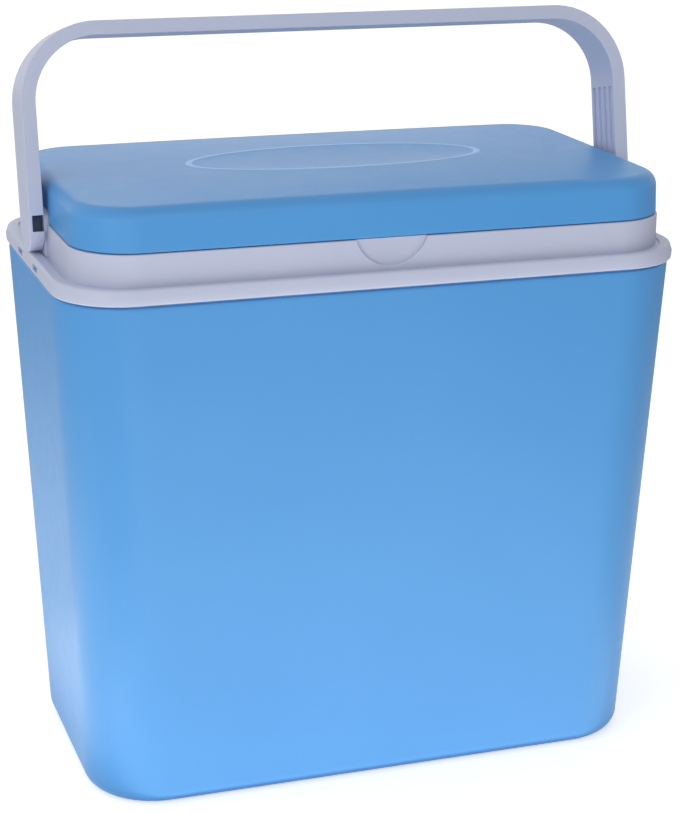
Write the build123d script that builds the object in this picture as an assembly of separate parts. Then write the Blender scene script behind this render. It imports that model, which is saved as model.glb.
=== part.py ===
from build123d import *
import math
import os

# Insulated vaccine carrier: a tapered double-walled box, a lift-off lid and a swing handle.
# Millimetres. Origin at the middle of the footprint, X across the width, -Y the front, +Z up.

# ---- Driving dimensions -------------------------------------------------------------------

# Outer shell
body_height = 325.0          # floor to the rim's lower lip
body_top_width = 393.4
body_top_depth = 224.8
body_taper_x = 14.2          # how much narrower each side is at the foot
body_taper_y = 13.2
body_corner_r = 46.0
body_foot_edge_r = 10.0
shell_wall = 2.4
foot_ring_width = 14.0       # flat ring that the box stands on
foot_ring_height = 2.0
spigot_height = 7.6          # shell wall that stands up inside the rim's skirt
spigot_wall = 2.2
spigot_root = 7.0            # how far the spigot's wall runs down inside the shell
spigot_bury = 0.5            # how deep it sits in the shell's wall

# Rim and inner liner, one moulding
lip_overhang = 0.8
flange_height = 10.4
flange_top_inset = 1.0
flange_bulge = 0.25
flange_tighter_r = 3.5       # how much tighter its corners are than the shell's
skirt_tighter_r = 1.7        # and those of the skirt's inside
liner_wall = 2.2
ledge_x = 10.3               # ledge beside the neck at each end
ledge_y = 6.5                # and along the front and back
neck_height = 18.8
neck_corner_r = 37.0
ledge_fillet_r = 3.0
flange_edge_r = 2.4
neck_edge_r = 0.8
rim_thickness = 17.0         # from the neck's outside to the mouth
mouth_corner_r = 22.0
cavity_taper_x = 7.3
cavity_taper_y = 10.1
cavity_floor_r = 6.0
notch_width = 45.0           # thumb notch under the lid's front edge
notch_drop = 16.6
notch_depth = 1.9
notch_pad_margin = 4.0

# Snap windows in the rim's skirt, with the shell's hooks behind them
window_length = 14.5
window_height = 3.2
window_lift = 3.6            # above the skirt's lower lip
window_offset_y = 24.0
hook_gap = 0.5
hook_proud = 1.2
hook_root = 0.5              # how deep it sits in the spigot's wall
hook_nose = 0.6              # flat edge at its tip
fit_gap = 0.3                # between the skirt and the spigot, and over the shell's top

# Pivot ears on the rim's ends
ear_width = 26.0
ear_thickness = 5.4
ear_proud = 1.8              # beyond the neck's end
ear_rise = 8.1               # above the neck's land
ear_corner_r = 7.0

# Handle
strap_width = 33.6
strap_thickness = 8.7
strap_gap = 0.3              # between an ear and the arm beside it
bail_height = 119.0          # pivot axis to the top of the grip
bail_corner_r = 48.0
strap_edge_r = 1.4
bail_ledge_gap = 0.4
bail_lean_deg = 11.3         # how far back the handle stands at rest
peg_r = 4.0
peg_length = 4.6
peg_chamfer = 0.6
peg_running_clearance = 0.05
peg_end_gap = 0.4
pocket_length = 10.8
pocket_depth = 9.5
pocket_skin = 1.5
flute_count = 4
flute_width = 3.9
flute_pitch = 7.8
flute_depth = 2.6
flute_top = 66.0             # above the pivot axis
flute_bottom = 19.0

# Lid
lid_gap = 0.7                # shadow gap between lid and rim
lid_inset_x = 0.8            # inside the neck's outline
lid_inset_y = 0.5
lid_tighter_r = 0.4
lid_side_height = 25.3
lid_draft_deg = 2.4
lid_crown = 5.2
lid_edge_r = 8.0
lid_wall = 2.3
dish_length = 193.0
dish_width = 77.0
dish_depth = 2.4
dish_slope = 0.3             # lift of the dish's ellipsoid centre, as a share of its depth
plate_lift = 0.2             # lid liner's plate above the rim's land
plate_wall = 1.8
plug_clearance = 1.2
plug_draft = 1.8
plug_drop = 20.0
plug_edge_r = 4.0
ear_notch_gap = 0.7

# Insulation
foam_wall = 18.0             # under the cavity's floor
foam_gap = 0.3

# Ice packs
pack_height = 190.0
pack_thickness = 34.0
pack_corner_r = 14.0
pack_edge_r = 6.0
pack_wall_gap = 0.8
pack_floor_gap = 0.3
pack_side_gap = 3.0          # between two packs side by side
pack_end_gap = 6.6           # between a side pack and the end pack beyond it
pack_panel_margin = 16.0
pack_panel_depth = 1.5
pack_neck_r = 11.0
pack_neck_height = 5.0
pack_neck_inset = 26.0
pack_bore_r = 7.6
pack_bore_spare = 1.0        # bore left under the stopper's stem
stopper_r = 12.5
stopper_height = 5.0
stopper_stem_length = 9.0
stopper_stem_gap = 0.2
stopper_edge_r = 1.2
stopper_slot_length = 17.5
stopper_slot_width = 3.0
stopper_slot_depth = 2.0

# Modelling
overrun = 1.0                # how far a cutting tool or a buried end runs past the face it meets

# ---- Heights and outlines worked out from them --------------------------------------------

lip_z = body_height
ledge_z = lip_z + flange_height
land_z = ledge_z + neck_height
lid_base_z = land_z + lid_gap
lid_edge_z = lid_base_z + lid_side_height
floor_z = shell_wall + foam_wall + liner_wall
pivot_z = ledge_z + bail_ledge_gap + strap_width / 2
ear_top_z = land_z + ear_rise
lid_top_z = lid_edge_z + lid_crown

body_foot_width = body_top_width - 2 * body_taper_x
body_foot_depth = body_top_depth - 2 * body_taper_y
lip_width = body_top_width + 2 * lip_overhang
lip_depth = body_top_depth + 2 * lip_overhang
flange_corner_r = body_corner_r - flange_tighter_r
skirt_width = lip_width - 2 * liner_wall
skirt_depth = lip_depth - 2 * liner_wall
skirt_corner_r = body_corner_r - skirt_tighter_r
neck_width = lip_width - 2 * ledge_x
neck_depth = lip_depth - 2 * ledge_y
mouth_width = neck_width - 2 * rim_thickness
mouth_depth = neck_depth - 2 * rim_thickness
cavity_foot_width = mouth_width - 2 * cavity_taper_x
cavity_foot_depth = mouth_depth - 2 * cavity_taper_y
ear_outer_x = neck_width / 2 + ear_proud
ear_inner_x = ear_outer_x - ear_thickness
arm_inner_x = ear_outer_x + strap_gap
arm_outer_x = arm_inner_x + strap_thickness
lid_width = neck_width - 2 * lid_inset_x
lid_depth = neck_depth - 2 * lid_inset_y
lid_corner_r = neck_corner_r - lid_tighter_r
pack_width = cavity_foot_width / 2 - pack_wall_gap - pack_thickness - pack_end_gap - pack_side_gap / 2


def outline(width, depth, radius, z):
    """A rounded rectangle lying flat at height z."""
    return Plane.XY.offset(z) * RectangleRounded(width, depth, radius)


def block(*sections):
    """A solid through rounded rectangles, each given as (width, depth, radius, z)."""
    return loft([outline(*section) for section in sections], ruled=True)


def between(low, high, share):
    return low + (high - low) * share


def body_section(z, inset):
    """The shell's tapered outline at height z, moved in by inset."""
    share = z / body_height
    width = between(body_foot_width, body_top_width, share) - 2 * inset
    depth = between(body_foot_depth, body_top_depth, share) - 2 * inset
    return width, depth, body_corner_r - inset, z


def cavity_section(z, grow):
    """The liner's cavity outline at height z, moved out by grow."""
    share = (z - floor_z) / (land_z - floor_z)
    width = between(cavity_foot_width, mouth_width, share) + 2 * grow
    depth = between(cavity_foot_depth, mouth_depth, share) + 2 * grow
    return width, depth, mouth_corner_r + grow, z


def lid_section(z, inset):
    """The lid's drafted outline at height z, moved in by inset."""
    narrower = 2 * (z - lid_base_z) * math.tan(math.radians(lid_draft_deg)) + 2 * inset
    return lid_width - narrower, lid_depth - narrower, lid_corner_r - narrower / 2, z


def box_between(x, y, z):
    """A plain block that spans the pairs x, y and z."""
    size = Box(x[1] - x[0], y[1] - y[0], z[1] - z[0])
    return Pos((x[0] + x[1]) / 2, (y[0] + y[1]) / 2, (z[0] + z[1]) / 2) * size


def lowest(part):
    return part.edges().group_by(Axis.Z)[0]


# ---- Outer shell --------------------------------------------------------------------------

def make_outer_shell():
    """Tapered tub with a foot ring, and a spigot that the rim's skirt hooks over."""
    outside = block(body_section(0, 0), body_section(lip_z - fit_gap, 0))
    outside = fillet(lowest(outside), body_foot_edge_r)
    inside = block(body_section(shell_wall, shell_wall), body_section(lip_z + overrun, shell_wall))
    inside = fillet(lowest(inside), body_foot_edge_r - shell_wall)
    spigot_width = skirt_width - 2 * fit_gap
    spigot_depth = skirt_depth - 2 * fit_gap
    spigot_r = skirt_corner_r - fit_gap
    root_z = lip_z - spigot_root
    top_z = lip_z + spigot_height
    spigot = spigot_width, spigot_depth, spigot_r
    ring = block((*spigot, root_z), (*spigot, top_z))
    ring -= block(spigot_inside(root_z - overrun), spigot_inside(top_z + overrun))
    buried = body_section(root_z, spigot_bury), body_section(lip_z - fit_gap, spigot_bury)
    above = box_between((-lip_width, lip_width), (-lip_depth, lip_depth), (lip_z - fit_gap, top_z + overrun))
    shell = outside - inside + (ring & block(*buried)) + (ring & above)
    for side in (-1, 1):
        for y in (-window_offset_y, window_offset_y):
            shell += snap_hook(side, y)
    width, depth, radius, _ = body_section(0, body_foot_edge_r + foot_ring_width)
    hollow = block((width, depth, radius, 0), (width, depth, radius, foot_ring_height))
    step = width + 2 * shell_wall, depth + 2 * shell_wall, radius + shell_wall
    raised = block((*step, shell_wall / 2), (*step, foot_ring_height + shell_wall))
    return shell + raised - hollow


def spigot_inside(z):
    """The inside outline of the shell's spigot, at height z."""
    inset = 2 * (fit_gap + spigot_wall)
    return skirt_width - inset, skirt_depth - inset, skirt_corner_r - inset / 2, z


def snap_hook(side, y):
    """A small wedge on the spigot that clicks into a window of the skirt."""
    spigot_x = skirt_width / 2 - fit_gap
    low = lip_z + window_lift + hook_gap
    high = lip_z + window_lift + window_height - hook_gap
    root_x = spigot_x - hook_root
    tip_x = spigot_x + hook_proud
    corners = (root_x, low), (tip_x, low), (tip_x, low + hook_nose), (spigot_x, high), (root_x, high)
    wedge = Plane.XZ * Polygon(*corners, align=None)
    length = window_length - 2 * hook_gap
    hook = Pos(0, y + length / 2, 0) * extrude(wedge, amount=length)
    return hook if side > 0 else mirror(hook, about=Plane.YZ)


# ---- Inner liner with the rim -------------------------------------------------------------

def make_inner_liner():
    """Flange, neck and cavity tub in one moulding, with the handle's two pivot ears."""
    middle_z = lip_z + flange_height / 2
    top_width = lip_width - 2 * flange_top_inset
    top_depth = lip_depth - 2 * flange_top_inset
    flange = block((lip_width, lip_depth, flange_corner_r, lip_z),
                   (lip_width + 2 * flange_bulge, lip_depth + 2 * flange_bulge, flange_corner_r, middle_z),
                   (top_width, top_depth, flange_corner_r, ledge_z))
    flange = fillet(flange.edges().group_by(Axis.Z)[-1], flange_edge_r)
    neck = neck_width, neck_depth, neck_corner_r
    neck = block((*neck, ledge_z), (*neck, land_z))
    neck = fillet(neck.edges().group_by(Axis.Z)[-1], neck_edge_r)
    rim = flange + neck
    rim = fillet(ledge_corner(rim), ledge_fillet_r)
    skirt = skirt_width, skirt_depth, skirt_corner_r
    rim -= block((*skirt, lip_z - overrun), (*skirt, ledge_z - liner_wall))
    rim -= neck_hollow(0)
    rim += notch_pad()
    for side in (-1, 1):
        rim += pivot_ear(side, 0)
    tub_top_z = land_z - neck_edge_r
    tub = block(cavity_section(floor_z - liner_wall, liner_wall), cavity_section(tub_top_z, liner_wall))
    cavity = block(cavity_section(floor_z, 0), cavity_section(land_z + overrun, 0))
    liner = rim + tub - fillet(lowest(cavity), cavity_floor_r)
    liner -= thumb_notch()
    for side in (-1, 1):
        liner -= pivot_bore(side)
        for y in (-window_offset_y, window_offset_y):
            liner -= snap_window(side, y)
    return liner


def ledge_corner(rim):
    """The inside corner where the neck stands up from the flange's ledge."""
    reach_x = neck_width / 2 + overrun
    reach_y = neck_depth / 2 + overrun
    level = rim.edges().filter_by_position(Axis.Z, ledge_z, ledge_z)
    return level.filter_by_position(Axis.X, -reach_x, reach_x).filter_by_position(Axis.Y, -reach_y, reach_y)


def neck_hollow(shrink):
    """Foam space inside the neck, from the skirt up to the land's underside."""
    width = neck_width - 2 * liner_wall - 2 * shrink
    depth = neck_depth - 2 * liner_wall - 2 * shrink
    radius = neck_corner_r - liner_wall - shrink
    low = ledge_z - liner_wall - overrun
    return block((width, depth, radius, low), (width, depth, radius, land_z - liner_wall - shrink))


def notch_radius():
    return ((notch_width / 2) ** 2 + notch_drop ** 2) / (2 * notch_drop)


def thumb_notch():
    """Shallow round scoop in the neck's front, open to its top edge."""
    radius = notch_radius()
    disc = Cylinder(radius, notch_depth * 2, rotation=(90, 0, 0))
    disc = Pos(0, -neck_depth / 2, land_z - notch_drop + radius) * disc
    return disc & box_between((-notch_width, notch_width), (-neck_depth, 0), (0, land_z + overrun))


def notch_pad():
    """Thicker wall behind the thumb notch."""
    half = notch_width / 2 + notch_pad_margin
    front = -neck_depth / 2 + liner_wall / 2
    return box_between((-half, half), (front, front + notch_depth + liner_wall / 2),
                       (ledge_z - liner_wall, land_z - liner_wall / 2))


def pivot_ear(side, grow):
    """Round-topped block that carries one end of the handle."""
    half = ear_width / 2 + grow
    top = ear_top_z + grow
    ear = box_between((ear_inner_x - grow, ear_outer_x + grow), (-half, half), (ledge_z - liner_wall, top))
    corners = ear.edges().filter_by(Axis.X).group_by(Axis.Z)[-1]
    ear = fillet(corners, ear_corner_r)
    return ear if side > 0 else mirror(ear, about=Plane.YZ)


def crosswise_rod(radius, length):
    """A rod along X that starts at the origin."""
    return Cylinder(radius, length, rotation=(0, 90, 0), align=(Align.CENTER, Align.CENTER, Align.MIN))


def pivot_bore(side):
    """Hole in an ear for one of the handle's pegs."""
    radius = peg_r + peg_running_clearance
    depth = peg_length + peg_end_gap
    bore = Pos(arm_inner_x - depth, 0, pivot_z) * crosswise_rod(radius, depth)
    return bore if side > 0 else mirror(bore, about=Plane.YZ)


def snap_window(side, y):
    """Slot through the rim's skirt that a hook of the shell clicks into."""
    low = lip_z + window_lift
    x = skirt_width / 2 - overrun, lip_width / 2 + flange_bulge + overrun
    window = box_between(x, (y - window_length / 2, y + window_length / 2), (low, low + window_height))
    return window if side > 0 else mirror(window, about=Plane.YZ)


# ---- Body insulation ----------------------------------------------------------------------

def make_body_insulation():
    """Foam that fills the space between the shell and the liner."""
    step_z = lip_z - spigot_root - foam_gap
    foot = shell_wall + foam_gap
    foam = block(body_section(foot + foot_ring_height, foot), body_section(step_z, foot))
    foam = fillet(lowest(foam), body_foot_edge_r - shell_wall)
    inside = spigot_inside(0)
    collar = (inside[0] - 2 * foam_gap, inside[1] - 2 * foam_gap, inside[2] - foam_gap)
    foam += block((*collar, step_z - overrun), (*collar, ledge_z - liner_wall - foam_gap))
    foam += neck_hollow(foam_gap)
    foam -= block(cavity_section(floor_z - liner_wall - foam_gap, liner_wall + foam_gap),
                  cavity_section(land_z + overrun, liner_wall + foam_gap))
    for side in (-1, 1):
        foam -= pivot_ear(side, foam_gap)
    half = notch_width / 2 + notch_pad_margin + foam_gap
    foam -= box_between((-half, half), (-neck_depth, -neck_depth / 2 + liner_wall + notch_depth + foam_gap),
                        (ledge_z - liner_wall - foam_gap, land_z))
    return foam


# ---- Handle -------------------------------------------------------------------------------

def make_handle():
    """Flat strap bail, built upright about the pivot axis and then leaned back."""
    top = bail_height
    straight = top - bail_corner_r
    below = -strap_width
    outer = arch(arm_outer_x, top, bail_corner_r, below, straight)
    inner_r = bail_corner_r - strap_thickness
    inner = arch(arm_inner_x, top - strap_thickness, inner_r, below - overrun, straight)
    bail = extrude(Plane.XZ * (outer - inner), amount=strap_width / 2, both=True)
    half = strap_width / 2
    side_view = Pos(0, top / 2) * Rectangle(strap_width, top) + Circle(half)
    bail &= extrude(Plane.YZ * side_view, amount=arm_outer_x + overrun, both=True)
    bail = fillet(strap_edges(bail), strap_edge_r)
    for side in (-1, 1):
        for column in range(flute_count):
            y = (column - (flute_count - 1) / 2) * flute_pitch
            bail -= flute(side, y)
        for face in (-1, 1):
            bail -= foot_pocket(side, face)
        bail += pivot_peg(side)
    return Pos(0, 0, pivot_z) * Rot(-bail_lean_deg, 0, 0) * bail


def arch(half_width, top, radius, bottom, straight):
    """Filled outline of the bail seen from the front."""
    outline_wire = Polyline((-half_width, straight), (-half_width, bottom), (half_width, bottom),
                            (half_width, straight))
    right = CenterArc((half_width - radius, top - radius), radius, 0, 90)
    left = CenterArc((radius - half_width, top - radius), radius, 90, 90)
    grip = Line((half_width - radius, top), (radius - half_width, top))
    return make_face(outline_wire + right + grip + left)


def strap_edges(bail):
    """Every edge along the strap and round its feet; those across its thickness stay out."""
    across = [edge for edge in bail.edges().filter_by(Axis.X) if edge.length < strap_thickness + overrun]
    return ShapeList(edge for edge in bail.edges() if edge not in across)


def flute(side, y):
    """Upright groove in an arm's inner face."""
    x = arm_inner_x - overrun, arm_inner_x + flute_depth
    cut = box_between(x, (y - flute_width / 2, y + flute_width / 2), (flute_bottom, flute_top))
    return cut if side > 0 else mirror(cut, about=Plane.YZ)


def foot_pocket(side, face):
    """Open pocket in the front or back edge of an arm's foot."""
    deep = strap_width / 2 - pocket_depth
    y = (deep, strap_width) if face > 0 else (-strap_width, -deep)
    x = arm_inner_x - overrun, arm_outer_x - pocket_skin
    cut = box_between(x, y, (-pocket_length / 2, pocket_length / 2))
    return cut if side > 0 else mirror(cut, about=Plane.YZ)


def pivot_peg(side):
    """Peg inside an arm's foot that turns in an ear."""
    peg = crosswise_rod(peg_r, peg_length + overrun)
    peg = chamfer(peg.edges().group_by(Axis.X)[0], peg_chamfer)
    peg = Pos(arm_inner_x - peg_length, 0, 0) * peg
    return peg if side > 0 else mirror(peg, about=Plane.YZ)


# ---- Lid ----------------------------------------------------------------------------------

def crown_tool(drop):
    """Everything above the lid's gently crowned top, lowered by drop."""
    columns = 17
    rows = 13
    reach_x = lid_width / 2
    reach_y = lid_depth / 2
    grid = []
    for i in range(columns):
        x = reach_x * (2 * i / (columns - 1) - 1)
        grid.append([crown_point(x, reach_y * (2 * j / (rows - 1) - 1), drop) for j in range(rows)])
    face = Face.make_surface_from_array_of_points(grid)
    return extrude(face, amount=lid_side_height, dir=(0, 0, 1))


def crown_point(x, y, drop):
    rise = lid_crown * (1 - (2 * x / lid_width) ** 2) * (1 - (2 * y / lid_depth) ** 2)
    return Vector(x, y, lid_edge_z + rise - drop)


def dish_body(grow):
    """Ellipsoid that hollows the shallow oval in the lid's top, made larger by grow."""
    rim_z = lid_edge_z + lid_crown * (1 - (dish_width / lid_depth) ** 2)
    lift = dish_depth * dish_slope
    tall = dish_depth + lift
    share = math.sqrt(1 - (lift / tall) ** 2)
    length = dish_length / 2 / share + grow
    width = dish_width / 2 / share + grow
    bowl = scale(Sphere(1), by=(length, width, tall + grow))
    return Pos(0, 0, rim_z + lift) * bowl


def end_notches():
    """Room for the rim's pivot ears in the lid's two ends."""
    return [pivot_ear(side, ear_notch_gap) for side in (-1, 1)]


def make_lid_cover():
    """Drafted, crowned top shell with a shallow oval."""
    top_z = lid_top_z + overrun
    outside = block(lid_section(lid_base_z, 0), lid_section(top_z, 0)) - crown_tool(0)
    outside = fillet(outside.edges().group_by(Axis.Z)[-1], lid_edge_r)
    cover = outside - dish_body(0)
    inside = block(lid_section(lid_base_z - overrun, lid_wall), lid_section(top_z, lid_wall))
    inside -= crown_tool(lid_wall)
    inside = fillet(inside.edges().group_by(Axis.Z)[-1], lid_edge_r - lid_wall)
    cover -= inside - dish_body(lid_wall)
    for notch in end_notches():
        cover -= notch
    return cover


def plug_section(z, inset):
    """The plug's drafted outline at height z, moved in by inset."""
    share = (land_z - z) / plug_drop
    narrower = 2 * (plug_clearance + inset + plug_draft * share)
    return mouth_width - narrower, mouth_depth - narrower, mouth_corner_r - narrower / 2, z


def make_lid_liner():
    """Plate under the lid with a plug that drops into the rim's mouth."""
    plate_z = land_z + plate_lift
    inset = lid_wall + foam_gap
    plate = block(lid_section(plate_z, inset), lid_section(plate_z + plate_wall, inset))
    plug = block(plug_section(land_z - plug_drop, 0), plug_section(plate_z + plate_wall / 2, 0))
    plug = fillet(lowest(plug), plug_edge_r)
    hollow = block(plug_section(land_z - plug_drop + plate_wall, plate_wall),
                   plug_section(plate_z + 2 * plate_wall, plate_wall))
    hollow = fillet(lowest(hollow), plug_edge_r - plate_wall)
    liner = plate + plug - hollow
    for notch in end_notches():
        liner -= notch
    return liner


def make_lid_insulation():
    """Foam that fills the plug and the lid's top shell."""
    plate_top = land_z + plate_lift + plate_wall
    inset = plate_wall + foam_gap
    foam = block(plug_section(land_z - plug_drop + inset, inset), plug_section(plate_top + overrun, inset))
    foam = fillet(lowest(foam), plug_edge_r - plate_wall)
    inset = lid_wall + foam_gap
    upper = block(lid_section(plate_top + foam_gap, inset), lid_section(lid_top_z + overrun, inset))
    upper -= crown_tool(inset)
    upper = fillet(upper.edges().group_by(Axis.Z)[-1], lid_edge_r - lid_wall)
    foam += upper - dish_body(inset)
    for notch in end_notches():
        foam -= notch
    return foam


# ---- Ice packs ----------------------------------------------------------------------------

def upright_rod(radius, length):
    """A rod along Z that stands on the origin."""
    return Cylinder(radius, length, align=(Align.CENTER, Align.CENTER, Align.MIN))


def make_ice_pack():
    """Flat water pack standing on its edge, its face to -Y, with a round filling neck."""
    face = Plane.XZ * (Pos(0, pack_height / 2) * RectangleRounded(pack_width, pack_height, pack_corner_r))
    pack = extrude(face, amount=pack_thickness / 2, both=True)
    pack = fillet(ShapeList(edge for f in pack.faces().filter_by(Axis.Y) for edge in f.edges()), pack_edge_r)
    panel_width = pack_width - 2 * pack_panel_margin
    panel_height = pack_height - 2 * pack_panel_margin
    panel = Plane.XZ * (Pos(0, pack_height / 2) * RectangleRounded(panel_width, panel_height, pack_corner_r))
    for way in (-1, 1):
        cut = extrude(panel, amount=pack_panel_depth * 2)
        pack -= Pos(0, way * pack_thickness / 2 + pack_panel_depth, 0) * cut
    neck_x = pack_width / 2 - pack_neck_inset
    pack += Pos(neck_x, 0, pack_height - overrun) * upright_rod(pack_neck_r, pack_neck_height + overrun)
    bore_foot = pack_height + pack_neck_height - stopper_stem_length - pack_bore_spare
    return pack - Pos(neck_x, 0, bore_foot) * upright_rod(pack_bore_r, pack_height)


def make_stopper():
    """Press-in stopper with a coin slot, in its place on an ice pack."""
    neck_x = pack_width / 2 - pack_neck_inset
    seat_z = pack_height + pack_neck_height + foam_gap
    cap = upright_rod(stopper_r, stopper_height)
    cap = fillet(cap.edges().group_by(Axis.Z)[-1], stopper_edge_r)
    stem_r = pack_bore_r - stopper_stem_gap
    stem = Pos(0, 0, -stopper_stem_length) * upright_rod(stem_r, stopper_stem_length + stopper_height / 2)
    slot = Pos(0, 0, stopper_height) * Box(stopper_slot_length, stopper_slot_width, 2 * stopper_slot_depth)
    return Pos(neck_x, 0, seat_z) * (cap + stem - slot)


def pack_places():
    """Where each ice pack stands: two along the front, two along the back, one at each end."""
    wall_y = cavity_foot_depth / 2 - pack_wall_gap - pack_thickness / 2
    wall_x = cavity_foot_width / 2 - pack_wall_gap - pack_thickness / 2
    side_x = pack_side_gap / 2 + pack_width / 2
    z = floor_z + pack_floor_gap
    return {
        "front_left": Pos(-side_x, -wall_y, z),
        "front_right": Pos(side_x, -wall_y, z),
        "back_left": Pos(-side_x, wall_y, z) * Rot(0, 0, 180),
        "back_right": Pos(side_x, wall_y, z) * Rot(0, 0, 180),
        "left_end": Pos(-wall_x, 0, z) * Rot(0, 0, -90),
        "right_end": Pos(wall_x, 0, z) * Rot(0, 0, 90),
    }


# ---- Write every node ---------------------------------------------------------------------

def make_nodes():
    """Each sub-part under its own name."""
    nodes = {
        "outer_shell": make_outer_shell(),
        "body_insulation": make_body_insulation(),
        "inner_liner": make_inner_liner(),
        "handle": make_handle(),
        "lid_cover": make_lid_cover(),
        "lid_insulation": make_lid_insulation(),
        "lid_liner": make_lid_liner(),
    }
    pack = make_ice_pack()
    stopper = make_stopper()
    for name, place in pack_places().items():
        nodes["ice_pack_" + name] = place * pack
        nodes["stopper_" + name] = place * stopper
    return nodes


os.makedirs("parts", exist_ok=True)
for name, part in make_nodes().items():
    part.label = name
    export_step(part, os.path.join("parts", name + ".step"))
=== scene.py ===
import math

import bmesh
import bpy
from mathutils import Matrix, Vector


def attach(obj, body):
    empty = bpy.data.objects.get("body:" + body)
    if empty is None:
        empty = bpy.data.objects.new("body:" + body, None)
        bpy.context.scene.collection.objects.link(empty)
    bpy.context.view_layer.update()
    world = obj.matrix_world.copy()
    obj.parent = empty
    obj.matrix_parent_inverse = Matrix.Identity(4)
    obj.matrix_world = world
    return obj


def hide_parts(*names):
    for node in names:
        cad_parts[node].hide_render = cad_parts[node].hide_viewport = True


# Looks of an insulated carrier: blue shell, pale rim with its cavity, pale strap handle, blue lid.
# Metres, in the frame's own axes: X across, -Y the front, +Z up, origin under the middle of the foot.

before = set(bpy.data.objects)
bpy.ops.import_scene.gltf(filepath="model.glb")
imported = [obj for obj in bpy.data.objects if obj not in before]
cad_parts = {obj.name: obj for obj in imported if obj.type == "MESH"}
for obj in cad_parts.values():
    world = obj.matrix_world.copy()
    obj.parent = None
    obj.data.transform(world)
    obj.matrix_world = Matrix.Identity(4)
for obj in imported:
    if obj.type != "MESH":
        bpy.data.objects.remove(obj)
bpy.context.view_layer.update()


def moved_in(outline, ends, faces, corner):
    """An outline moved in by ends at both ends and by faces at front and back, with a corner radius."""
    return outline[0] - 2 * ends, outline[1] - 2 * faces, corner


# ---- Sizes ---------------------------------------------------------------------------------
# An outline is (width, depth, corner radius). The rim's lip and ledge drive the other sizes.

# Pale rim and cavity
RIM_CORNER = 0.0425
LIP = (0.3950, 0.2264, RIM_CORNER)
LIP_EDGE = 0.0016
LEDGE = moved_in(LIP, 0.0010, 0.0010, RIM_CORNER)
LEDGE_Z = 0.3354
FLANGE_HEIGHT = 0.0100
FLANGE_EDGE = 0.0017
FLANGE_LEAN = 0.0004             # how far the side stands out of the ledge's outline, under its edge
FLANGE_BULGE = 0.00025
LIP_Z = LEDGE_Z - FLANGE_HEIGHT
LINER_WALL = 0.0022
SKIRT = moved_in(LIP, LINER_WALL, LINER_WALL, 0.0443)
NECK = moved_in(LIP, 0.0103, 0.0065, 0.0370)
NECK_HEIGHT = 0.0188
NECK_EDGE = 0.0009
NECK_FILLET = 0.0008
LAND_Z = LEDGE_Z + NECK_HEIGHT
LAND_WIDTH = 0.0170
GROOVE_WIDTH = 0.0026
GROOVE_DEPTH = 0.0013
GROOVE_LIP = (0.0008, 0.0003)    # across and down
GROOVE_ROOT = (0.0004, 0.0002)   # across and up
MOUTH = moved_in(NECK, LAND_WIDTH, LAND_WIDTH, 0.0220)
CAVITY_FOOT = moved_in(MOUTH, 0.0073, 0.0101, 0.0220)
CAVITY_EDGE = 0.0060
FLOOR_Z = 0.0226

# Thumb notch in the neck, on a pad behind it
NOTCH_WIDTH = 0.0450
NOTCH_DROP = 0.0166
NOTCH_DEPTH = 0.0019
SCOOP_LENGTH = 0.0200
PAD_MARGIN = 0.0040
PAD_THICKNESS = 0.0030

# Four snaps: windows in the rim's skirt, hooks on the shell's spigot
WINDOW_LENGTH = 0.0145
WINDOW_HEIGHT = 0.0036
WINDOW_EDGE = 0.0004
WINDOW_Y = 0.0240
WINDOW_Z = LIP_Z + 0.0048
HOOK_GAP = 0.0005                # round the hook, in its window
HOOK_ROOT = 0.0006
HOOK_REACH = 0.0014
HOOK_EDGE = 0.0003

# Blue shell
BODY_CORNER = 0.0460
BODY_TOP = moved_in(LIP, 0.0008, 0.0008, BODY_CORNER)
BODY_FOOT = moved_in(BODY_TOP, 0.0142, 0.0132, BODY_CORNER)
BODY_TOP_Z = LIP_Z - 0.0010
BODY_TOP_EDGE = 0.0020
FOOT_EDGE = 0.0100
FOOT_RING = 0.0140
FOOT_RING_EDGE = 0.0004
FOOT_RECESS = 0.0020
SHELL_WALL = 0.0024
SPIGOT = moved_in(SKIRT, 0.0003, 0.0003, 0.0440)
SPIGOT_WALL = 0.0022
SPIGOT_TOP_Z = LEDGE_Z - 0.0028
SPIGOT_ROOT_Z = BODY_TOP_Z - 0.0044

# Handle
STRAP_WIDTH = 0.0336
STRAP_THICKNESS = 0.0087
STRAP_EDGE = 0.0014
FOOT_CLEARANCE = 0.0004          # between an upright foot and the ledge
PIVOT_Z = LEDGE_Z + FOOT_CLEARANCE + STRAP_WIDTH / 2
EAR_OUTER_X = LIP[0] / 2 - 0.0085
ARM_INNER_X = EAR_OUTER_X + 0.0003
ARM_OUTER_X = ARM_INNER_X + STRAP_THICKNESS
BAIL_HEIGHT = 0.1190             # above the pivot
BAIL_CORNER = 0.0480
LEAN = math.radians(11.3)
PEG_RADIUS = 0.0040
PEG_LENGTH = 0.0046
POCKET_LENGTH = 0.0098
POCKET_DEPTH = 0.0110
POCKET_SKIN = 0.0015
POCKET_EDGE = 0.0006
FLUTES = 4
FLUTE_PITCH = 0.0078
FLUTE_WIDTH = FLUTE_PITCH / 2
FLUTE_DEPTH = 0.0018
FLUTE_EDGE = 0.0007
FLUTE_SPAN = (0.0190, 0.0660)    # above the pivot

# Pivot ears on the rim
EAR_THICKNESS = 0.0054
EAR_WIDTH = 0.0260
EAR_TOP_Z = PIVOT_Z + 0.0097
EAR_CORNER = 0.0070
EAR_CLEARANCE = 0.0007           # between an ear and the lid
BORE_GAP = 0.0001
BORE_DEPTH = 0.0045

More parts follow.
